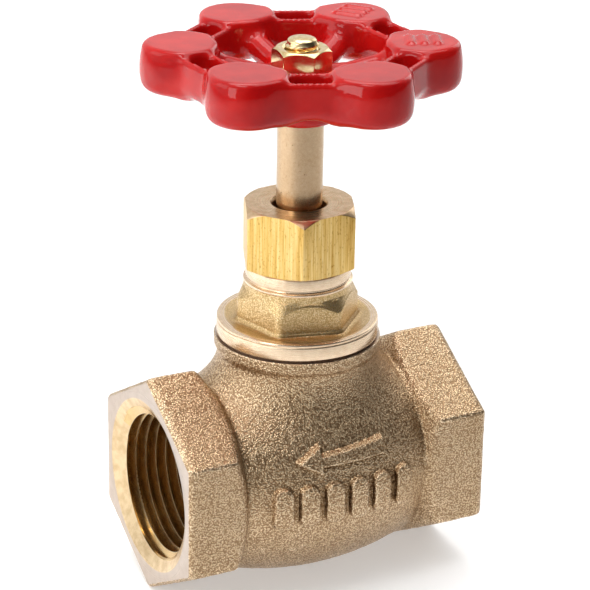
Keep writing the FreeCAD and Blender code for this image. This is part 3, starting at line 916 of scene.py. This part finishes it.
def end_planes(end_x, top):
    """Planes, as (point, outward normal), that cut off the body at both ends and at its top."""
    return [((-end_x, 0, 0), (-1, 0, 0)), ((end_x, 0, 0), (1, 0, 0)), ((0, 0, top), (0, 0, 1))]


def body_outside():
    """Skin of the casting with its sand grain, open at both port faces and at the collar's top."""
    reach = (HALF_LENGTH + 1.2, 20.6, COLLAR_TOP + 1)
    vertices, faces = fitted_net(body_skin, (-reach[0], -reach[1], -reach[1]), reach, step=0.42)
    skin = refined(vertices, faces, body_skin, near_reliefs)
    vertices = np.array([vert.co for vert in skin.verts])
    normals = slope_of(body_skin, vertices)
    normals /= np.linalg.norm(normals, axis=1)[:, None]
    vertices = vertices + normals * (GRAIN_HEIGHT * cast_grain(vertices))[:, None]
    for vert, point in zip(skin.verts, vertices):
        vert.co = point
    trim(skin, end_planes(HALF_LENGTH - FACE_BEVEL, COLLAR_TOP - FACE_BEVEL))
    for axis, value in BODY_ENDS:
        bevelled_end(skin, axis, value, FACE_BEVEL, BODY_SKIN)
    return skin


def body_inside(end_x):
    """Walls of the two chambers and of the bonnet's bore, open at the ports and at the top."""
    reach = (14.7, 16.8, COLLAR_TOP + 1)
    vertices, faces = fitted_net(body_cavity, (-reach[0], -reach[1], -reach[1]), reach, step=0.75)
    return sheet(vertices, faces, BODY_INSIDE, end_planes(end_x, COLLAR_TOP))


def make_body():
    thread_end = HALF_LENGTH - THREAD_LENGTH
    outside = body_outside()
    inside = body_inside(thread_end)
    outlet = port_thread()
    inlet = outlet.copy()
    inlet.transform(Matrix.Rotation(math.pi, 4, "Z"))
    whole = joined([outside, inside, outlet, inlet])
    for axis, value in BODY_ENDS:
        close_plane(whole, axis, value, BODY_FACE)
    for value in (-thread_end, thread_end):
        close_plane(whole, 0, value, BODY_INSIDE)
    bmesh.ops.recalc_face_normals(whole, faces=whole.faces[:])
    finishes = [cast_bronze(), machined_face(), port_bronze(), cast_inside()]
    add_piece("body_casting", whole, finishes, "valve_body", "body", "bridge")


# -------- bonnet
def bonnet_flange(hexagon):
    """Spigot and flange with its turned rim, up to the foot of the hexagon."""
    edge, rim = FLANGE_R, FLANGE_TOP
    return [(SPIGOT_R, SPIGOT_BOTTOM), (SPIGOT_R, FLANGE_BOTTOM), (edge, FLANGE_BOTTOM), (edge, rim - 0.75),
            (edge - 0.14, rim - 0.66), (edge - 0.02, rim - 0.56), (edge - 0.08, rim - 0.12),
            (edge - 0.95, rim), (edge - 1.35, rim - 0.12), (hexagon + 1.1, rim - 0.42),
            (hexagon + 0.42, rim - 0.3), (hexagon + 0.3, rim + 0.02)]


def bonnet_hexagon(hexagon):
    """Cast hexagon, whose corners are turned down to arches on its flats."""
    share = np.clip((hexagon - NECK_COLLAR_R) / (hexagon.max() - NECK_COLLAR_R), 0, 1)
    arch = BONNET_HEX_TOP - 0.15 - 1.5 * share
    return [(hexagon + 0.05, FLANGE_TOP + 0.3), (hexagon - 0.02, (FLANGE_TOP + arch) / 2),
            (hexagon, arch - 0.3), (hexagon - 0.16, arch),
            (NECK_COLLAR_R + 0.25 * share, BONNET_HEX_TOP - 0.1)]


def bonnet_neck():
    """Turned collar, groove, polished band and the thread for the packing nut."""
    neck = [(NECK_COLLAR_R, 31.3), (NECK_COLLAR_R - 0.05, 32.25), (NECK_COLLAR_R + 0.05, 32.4),
            (NECK_COLLAR_R + 0.05, 32.75), (POLISHED_R - 0.15, 32.85), (POLISHED_R - 0.2, 33.15),
            (POLISHED_R, 33.25), (POLISHED_R + 0.03, 34.2), (POLISHED_R, 35.1),
            (POLISHED_R - 0.5, 35.35), (PACKING_THREAD_R, 35.45)]
    thread = [(PACKING_THREAD_R - 0.5 * (k % 2), 36.2 + 0.65 * k) for k in range(8)]
    return neck + thread


def bonnet_bores():
    """Stuffing box and the bores for the stem, from the top down."""
    shaft_r, thread_r = SHAFT_R + BORE_GAP, STEM_THREAD_R + BORE_GAP
    return [(PACKING_THREAD_R, BONNET_TOP), (STUFFING_BOX_R, BONNET_TOP),
            (STUFFING_BOX_R, STUFFING_BOX_BOTTOM), (shaft_r, STUFFING_BOX_BOTTOM), (shaft_r, STEM_THREAD_TOP),
            (thread_r, STEM_THREAD_TOP), (thread_r, STEM_THREAD_BOTTOM), (SPIGOT_BORE_R, STEM_THREAD_BOTTOM),
            (SPIGOT_BORE_R, SPIGOT_BOTTOM)]


def make_bonnet():
    """Flange, cast hexagon, turned neck and bores, all on one turned outline."""
    angles = hexagon_angles(BONNET_HEX_TURN)
    hexagon = hexagon_radius(angles, BONNET_HEX_APOTHEM, BONNET_HEX_ROUND, BONNET_HEX_TURN)
    rows = bonnet_flange(hexagon) + bonnet_hexagon(hexagon) + bonnet_neck() + bonnet_bores()
    bm = lathe(softened(rows, 0.12), angles)
    for face in bm.faces:
        middle = face.calc_center_median()
        off = math.hypot(middle.x, middle.y)
        cast = FLANGE_TOP - 0.45 < middle.z < 32.3 and 8.8 < off < FLANGE_R - 1.3
        face.material_index = int(cast)
    add_piece("bonnet_casting", bm, [turned_bronze(), cast_neck()], "valve_body", "bonnet")


# -------- nuts
def nut_outline(angles, apothem, corner_round, turn, low, high, chamfer_r, low_drop, drop):
    """Outside rows of a hexagon nut whose two ends are turned to a chamfer."""
    hexagon = hexagon_radius(angles, apothem, corner_round, turn)
    past = np.maximum(hexagon - chamfer_r, 0) / (apothem / math.cos(math.pi / 6) - chamfer_r)
    shoulder = np.minimum(hexagon, chamfer_r)
    flanks = [(hexagon, low + low_drop * past), (hexagon, high - drop * past)]
    return [(shoulder, low)] + flanks + [(shoulder, high)]


def make_packing_nut():
    angles = hexagon_angles(NUT_TURN)
    low, high = NUT_BOTTOM - NUT_SKIRT, NUT_TOP + NUT_CROWN
    outside = nut_outline(angles, NUT_APOTHEM, 0.3, NUT_TURN, low, high, NUT_CHAMFER_R, 0.4, 1.2)
    thread_r = PACKING_THREAD_R + BORE_GAP
    inside = [(NUT_HOLE_R + 0.35, high), (NUT_HOLE_R, NUT_TOP - 0.35), (NUT_HOLE_R, NUT_CEILING),
              (thread_r, NUT_CEILING), (thread_r, NUT_BOTTOM + 0.5), (PACKING_THREAD_R + 0.5, low)]
    bm = lathe(softened(outside + inside, 0.09), angles)
    for face in bm.faces:
        middle = face.calc_center_median()
        off = math.hypot(middle.x, middle.y)
        drawn = off > NUT_APOTHEM - 0.2 and abs(face.normal.z) < 0.25
        face.material_index = int(not drawn)
    add_piece("packing_nut_hexagon", bm, [drawn_brass(), turned_brass()], "valve_body", "packing_nut")


def make_wheel_nut():
    angles = hexagon_angles(WHEEL_NUT_TURN)
    low, high = WHEEL_NUT_BOTTOM, WHEEL_NUT_TOP
    outside = nut_outline(angles, WHEEL_NUT_APOTHEM, 0.2, WHEEL_NUT_TURN, low, high, WHEEL_NUT_CHAMFER_R,
                          0.3, 0.62)
    thread_r = STEM_END_R + 0.08
    inside = [(STEM_END_R + 0.5, high), (thread_r, high - 0.4), (thread_r, low + 0.3),
              (STEM_END_R + 0.4, low)]
    bm = lathe(softened(outside + inside, 0.07), angles)
    add_piece("wheel_nut_hexagon", bm, [polished_brass()], "stem", "wheel_nut")


# -------- stem
def screw(angles, low, high, root_r, crest_r, pitch, per_pitch=8):
    """Rows of a screw thread, whose radius swings between root and crest along a helix."""
    rows = []
    for height in np.arange(low, high, pitch / per_pitch):
        turn = (height / pitch - angles / (2 * math.pi)) % 1
        swing = np.clip(1.6 * np.abs(2 * turn - 1) - 0.3, 0, 1)
        rows.append((root_r + (crest_r - root_r) * swing, height))
    return rows


def stem_end(thread_bottom, angles):
    """Threaded end for the wheel nut, with its domed tip."""
    rows = screw(angles, thread_bottom, STEM_TOP - 0.9, STEM_END_R - 0.3, STEM_END_R, STEM_END_PITCH, 10)
    dome_r, dome_height = 0.88 * STEM_END_R, 0.62
    for share in np.linspace(0, 0.95, 7):
        lean = share * math.pi / 2
        rows.append((dome_r * math.cos(lean) ** 0.6, STEM_TOP - dome_height * (1 - math.sin(lean))))
    return rows


def make_stem():
    angles = even_angles(96)
    turned_away = angles - math.radians(LOBE_TURN)
    side = SQUARE_HALF / np.maximum(np.abs(np.cos(turned_away)), np.abs(np.sin(turned_away)))
    square = np.minimum(side, SHAFT_R - 0.15)
    shoulder = WHEEL_BOTTOM
    square_top = WHEEL_NUT_BOTTOM - 0.4
    thread_low, thread_high = 18.5, 30.0
    foot = [(BUTTON_R - 0.2, STEM_BOTTOM), (BUTTON_R, STEM_BOTTOM + 0.2), (BUTTON_R, BUTTON_TOP - 0.1),
            (BUTTON_R - 0.1, BUTTON_TOP), (BUTTON_NECK_R, BUTTON_TOP), (BUTTON_NECK_R, thread_low - 0.3)]
    lower = screw(angles, thread_low, thread_high, STEM_THREAD_R - 0.95, STEM_THREAD_R, STEM_THREAD_PITCH)
    shaft = [(SHAFT_R, thread_high + 0.2), (SHAFT_R, 45.0), (SHAFT_R, shoulder - 0.45),
             (SHAFT_R - 0.3, shoulder - 0.05), (square, shoulder), (square, square_top),
             (STEM_END_R - 0.3, square_top)]
    bm = lathe(foot + lower + shaft + stem_end(square_top + 0.2, angles), angles, hollow=False)
    for face in bm.faces:
        face.material_index = int(face.calc_center_median().z > WHEEL_NUT_BOTTOM)
    add_piece("stem_turned", bm, [stem_bronze(), polished_brass()], "stem", "stem")


# -------- handwheel
def wheel_skin(x, y, z):
    """Six lobes joined by channelled bars, six spokes and a hub."""
    angle = np.arctan2(y, x) - math.radians(LOBE_TURN)
    sector = np.round(angle / (math.pi / 3))
    off = np.abs(angle - sector * math.pi / 3)
    radius = np.hypot(x, y)
    u, v = radius * np.cos(off), radius * np.sin(off)
    from_lobe = np.hypot(u - LOBE_CIRCLE_R, v)
    out = u * math.cos(math.pi / 6) + v * 0.5 - RIM_MIDDLE_R
    rim = rim_field(z, u, out, from_lobe)
    spoke_z = SPOKE_INNER_Z + (u - HUB_R) * SPOKE_RISE
    spoke = np.maximum(np.hypot(v, z - spoke_z) - SPOKE_R, u - SPOKE_END_R)
    hub = smooth_max(radius - HUB_R, z - HUB_TOP, blend=1.0)
    hub = smooth_max(hub, WHEEL_BOTTOM - z, blend=1.5)
    wheel = smooth_min(rim, smooth_min(hub, spoke, blend=1.6), blend=1.3)
    wheel = smooth_min(wheel, lobe_marks(radius, angle, sector, z), blend=0.5)
    turned = math.radians(LOBE_TURN)
    square_u = np.abs(x * math.cos(turned) + y * math.sin(turned))
    square_v = np.abs(y * math.cos(turned) - x * math.sin(turned))
    return np.maximum(wheel, SQUARE_HALF + 0.05 - np.maximum(square_u, square_v))


def rim_field(z, u, out, from_lobe):
    """Rim bars and lobes with one smooth wall, each with its own top and bottom height."""
    side = np.hypot(from_lobe + LOBE_SIDE_R - LOBE_BULGE_R, z - LOBE_BULGE_Z) - LOBE_SIDE_R
    draft = DRAFT_ABOVE * np.maximum(z - PARTING_Z, 0) + DRAFT_BELOW * np.maximum(PARTING_Z - z, 0)
    walls = smooth_min(np.abs(out) + draft - RIM_HALF_WIDTH, side, blend=2.0)
    on_top = smooth_step(from_lobe, 7.2, 5.9)
    below = smooth_step(from_lobe, 9.6, 5.6)
    top = RIM_TOP + (LOBE_TOP - RIM_TOP) * on_top
    rim_bottom = RIM_BOTTOM + RIM_UNDER_SLOPE * (RIM_HALF_WIDTH - out)
    lobe_bottom = LOBE_BOTTOM + LOBE_UNDER_SLOPE * np.maximum(LOBE_CIRCLE_R - u, 0)
    bottom = rim_bottom + (lobe_bottom - rim_bottom) * below
    solid = smooth_max(walls, z - top, blend=0.75)
    bottom_round = 2.5 + 2.5 * smooth_step(from_lobe, 7.0, 3.0)
    solid = smooth_max(solid, bottom - z, bottom_round)
    channel_side = np.abs(out) - CHANNEL_HALF_WIDTH - 0.06 * (z - RIM_TOP)
    channel = smooth_max(channel_side, CHANNEL_BOTTOM - z, blend=1.6)
    channel = smooth_max(channel, CHANNEL_END_R - from_lobe, blend=2.0)
    return smooth_max(solid, -channel, blend=0.7)


def lobe_marks(radius, angle, sector, z):
    """Three plain raised bars on the top of two neighbouring lobes."""
    turned = angle - sector * math.pi / 3
    u = radius * np.cos(turned) - LOBE_CIRCLE_R
    v = radius * np.sin(turned)
    marks = FAR
    for place in (-MARK_PITCH, 0, MARK_PITCH):
        bar = np.hypot(np.maximum(np.abs(v) - MARK_HALF_LENGTH, 0), u - place) - MARK_R
        marks = np.minimum(marks, smooth_max(bar, np.abs(z - LOBE_TOP) - MARK_HEIGHT, blend=0.5))
    return np.where((sector == 0) | (sector == 1), marks, FAR)


def make_handwheel():
    reach = LOBE_CIRCLE_R + LOBE_BULGE_R + 0.8
    low = (-reach, -reach, WHEEL_BOTTOM - 0.8)
    vertices, faces = fitted_net(wheel_skin, low, (reach, reach, LOBE_TOP + 1.1), step=0.36)
    bm = sheet(vertices, faces)
    add_piece("handwheel_casting", bm, [red_enamel()], "stem", "handwheel")


# -------- CAD nodes, floor, light, camera
def finish_cad_nodes(replaced):
    """Gives every CAD node that still shows a procedural material for its slot."""
    made = {}
    makers = {"gasket_fibre": gasket_fibre, "packing": packing, "drawn_brass": drawn_brass,
              "turned_bronze": turned_bronze, "disc_polymer": disc_polymer}
    for name, node in frame["nodes"].items():
        if name in replaced:
            continue
        slot = SLOTS[name]
        if slot not in made:
            made[slot] = makers[slot]()
        node.data.materials.clear()
        node.data.materials.append(made[slot])


def add_floor():
    half = 3.0
    mesh = bpy.data.meshes.new("floor")
    corner_points = [(-half, -half, 0), (half, -half, 0), (half, half, 0), (-half, half, 0)]
    mesh.from_pydata(corner_points, [], [(0, 1, 2, 3)])
    mesh.materials.append(pale_floor())
    floor = placed("floor", mesh)


def add_softbox(name, place, target, width, height, power, spread):
    """Rectangular area light that faces a target."""
    light = bpy.data.lights.new(name, "AREA")
    light.shape = "RECTANGLE"
    light.size = width
    light.size_y = height
    light.energy = power
    light.spread = math.radians(spread)
    lamp = placed(name, light)
    lamp.location = place
    lamp.rotation_euler = (Vector(target) - lamp.location).to_track_quat("-Z", "Y").to_euler()


def add_world():
    """Pale surroundings that are bright behind the valve and to its left, and dim in front of it."""
    world = bpy.data.worlds.new("studio")
    world.use_nodes = True
    tree = world.node_tree
    background = tree.nodes["Background"]
    coords = tree.nodes.new("ShaderNodeTexCoord")
    lean = tree.nodes.new("ShaderNodeVectorMath")
    lean.operation = "DOT_PRODUCT"
    lean.inputs[1].default_value = (-0.45, 0.85, 0.25)
    ramp = tree.nodes.new("ShaderNodeMapRange")
    tree.links.new(coords.outputs["Generated"], lean.inputs[0])
    tree.links.new(lean.outputs["Value"], ramp.inputs["Value"])
    set_range(ramp, -0.6, 0.5, 0.04, 0.85)
    tree.links.new(ramp.outputs["Result"], background.inputs["Strength"])
    background.inputs["Color"].default_value = (*WHITE, 1.0)
    bpy.context.scene.world = world


def add_camera():
    """Camera a little above the valve, to the left of its near side."""
    azimuth, elevation, roll = math.radians(-27.627), math.radians(22.407), math.radians(0.997)
    distance, shift_right, shift_up = 432.60, 0.0398, 26.969
    back = Vector((math.sin(azimuth) * math.cos(elevation), -math.cos(azimuth) * math.cos(elevation),
                   math.sin(elevation)))
    right = Vector((math.cos(azimuth), math.sin(azimuth), 0))
    up = back.cross(right)
    rolled_right = right * math.cos(roll) + up * math.sin(roll)
    rolled_up = up * math.cos(roll) - right * math.sin(roll)
    place = back * distance + rolled_right * shift_right + rolled_up * shift_up + Vector((0, 0, PIPE_Z))
    data = bpy.data.cameras.new("camera")
    data.sensor_width = 36
    data.lens = 155.75
    camera = placed("camera", data)
    turn = Matrix((rolled_right, rolled_up, back)).transposed()
    camera.matrix_world = Matrix.Translation(place * MM) @ turn.to_4x4()
    bpy.context.scene.camera = camera


def add_lights():
    """Softboxes: name, place, target, width, height, power in watts and spread in degrees."""
    middle = (0, 0, STEM_TOP * MM / 2)
    for light in (("overhead", (0.20, 0.10, 0.76), middle, 0.8, 0.5, 2.8, 180),
                  ("top_left", (-0.28, -0.22, 0.78), middle, 0.30, 0.30, 1.3, 180),
                  ("left", (-0.7, 0.2, 0.42), middle, 0.5, 0.5, 1.1, 180),
                  ("right", (0.75, 0.45, 0.40), middle, 0.4, 0.5, 0.8, 180),
                  ("window", (-0.72, -0.30, 0.24), middle, 0.30, 0.36, 1.2, 180),
                  ("sweep", (0.0, 0.50, 0.7), (0.0, 0.50, 0), 1.1, 0.8, 2.2, 60),
                  ("side_sweep", (-0.26, 0.10, 0.5), (-0.26, 0.10, 0), 0.3, 0.4, 0.42, 40)):
        add_softbox(*light)


def main():
    make_body()
    make_bonnet()
    make_packing_nut()
    make_stem()
    make_handwheel()
    make_wheel_nut()
    finish_cad_nodes({"body", "bridge", "bonnet", "packing_nut", "stem", "handwheel", "wheel_nut"})
    add_floor()
    add_world()
    add_lights()
    add_camera()
    bpy.context.scene.view_settings.view_transform = "Standard"


main()
